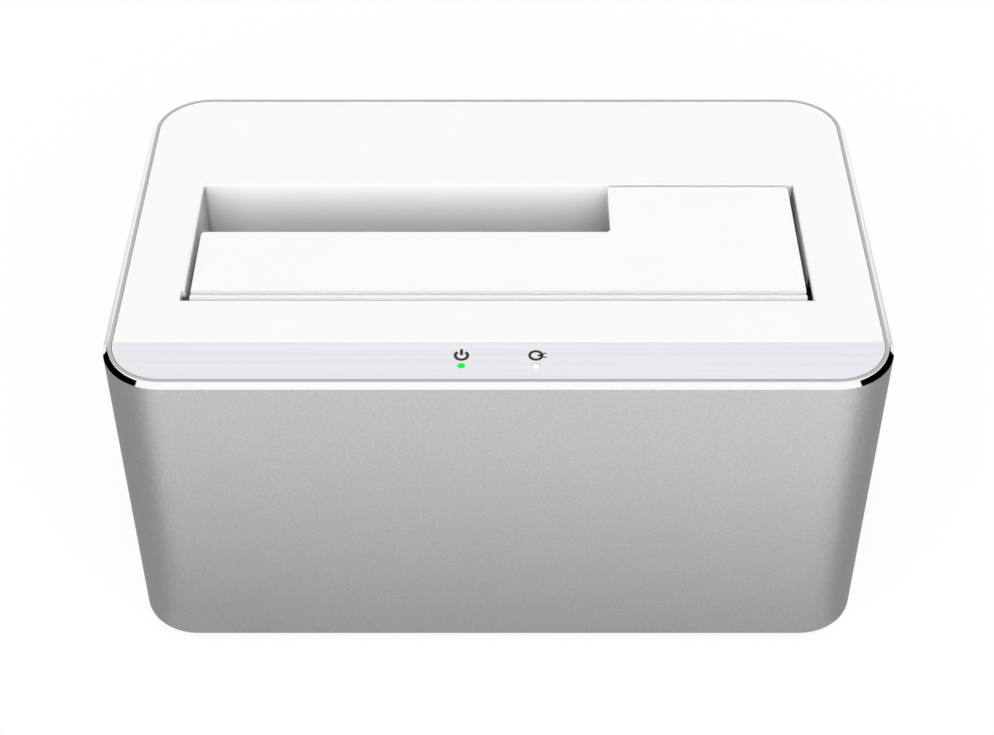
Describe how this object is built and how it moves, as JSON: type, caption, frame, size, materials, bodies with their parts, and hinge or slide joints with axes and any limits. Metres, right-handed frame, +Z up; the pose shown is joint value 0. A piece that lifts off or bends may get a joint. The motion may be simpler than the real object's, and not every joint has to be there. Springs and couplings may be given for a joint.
{
  "type": "hard drive docking station",
  "caption": "Desktop drive dock: rounded aluminium sleeve, white top with a long slot, a sprung flap cut away at one corner, an indicator strip and rear sockets.",
  "frame": {"origin": "on the table under the centre of the aluminium shell, at the bottom of the feet", "axes": "+Z up, +X to the right when the indicator strip faces the viewer, -Y out of the front wall"},
  "size_m": [0.1268, 0.08, 0.062],
  "materials": {
    "shell_aluminium": "bead-blasted and clear anodised, with a polished chamfer round the top",
    "white_plastic": "fine moulded texture",
    "flap_plastic": "fine moulded texture",
    "brushed_strip": "brushed along its length",
    "green_lens": "clear moulded, lit green",
    "clear_lens": "milky moulded, unlit",
    "board_laminate": "solder mask",
    "led_resin": "moulded resin",
    "ivory_plastic": "moulded",
    "cable_grey": "extruded flat cable",
    "screw_steel": "black zinc",
    "pin_steel": "ground",
    "spring_steel": "black oxide",
    "guide_plastic": "moulded",
    "black_plastic": "moulded",
    "contact_gold": "gold flash",
    "chip_resin": "moulded resin",
    "ferrite": "pressed",
    "capacitor_can": "drawn can",
    "crystal_can": "drawn can",
    "ceramic_tan": "fired",
    "socket_steel": "nickel plated",
    "blue_plastic": "moulded",
    "pin_plating": "nickel plated",
    "button_plastic": "moulded, silver grey",
    "base_plastic": "moulded texture",
    "foot_rubber": "moulded"
  },
  "bodies": {
    "housing": {"outer_shell": "shell_aluminium", "top_panel": "white_plastic", "indicator_strip": "brushed_strip", "power_lens": "green_lens", "activity_lens": "clear_lens", "led_board": "board_laminate", "power_led": "led_resin", "activity_led": "led_resin", "led_plug": "ivory_plastic", "led_ribbon": "cable_grey", "ribbon_header": "ivory_plastic", "led_board_screws": "screw_steel", "hinge_pin": "pin_steel", "flap_spring": "spring_steel", "drive_guide": "guide_plastic", "guide_screws": "screw_steel", "sata_socket": "black_plastic", "sata_contacts": "contact_gold", "main_board": "board_laminate", "board_screws": "screw_steel", "bridge_chip": "chip_resin", "regulator_chip": "chip_resin", "inductors": "ferrite", "capacitors": "capacitor_can", "crystal": "crystal_can", "chip_parts": "ceramic_tan", "usb_shell": "socket_steel", "usb_insulator": "blue_plastic", "usb_contacts": "contact_gold", "dc_jack": "black_plastic", "dc_pin": "pin_plating", "power_switch": "black_plastic", "switch_spring": "pin_steel", "base_plate": "base_plastic", "foot_front_left": "foot_rubber", "foot_front_right": "foot_rubber", "foot_rear_left": "foot_rubber", "foot_rear_right": "foot_rubber", "case_screws": "screw_steel"},
    "flap": {"flap": "flap_plastic"},
    "button": {"power_button": "button_plastic", "switch_plunger": "ivory_plastic"}
  },
  "joints": [
    {"name": "flap_hinge", "type": "hinge", "parent": "housing", "child": "flap", "pos_m": [0, -0.0163, 0.0595], "axis": [-1, 0, 0], "range_deg": [0, 90], "stiffness_Nm_per_rad": 0.006, "springref_deg": -40.11, "deforming": ["flap_spring"]},
    {"name": "button_press", "type": "slide", "parent": "housing", "child": "button", "axis": [0, -1, 0], "range_m": [0, 0.001], "stiffness_N_per_m": 150, "springref_m": -0.003, "deforming": ["switch_spring"]}
  ]
}
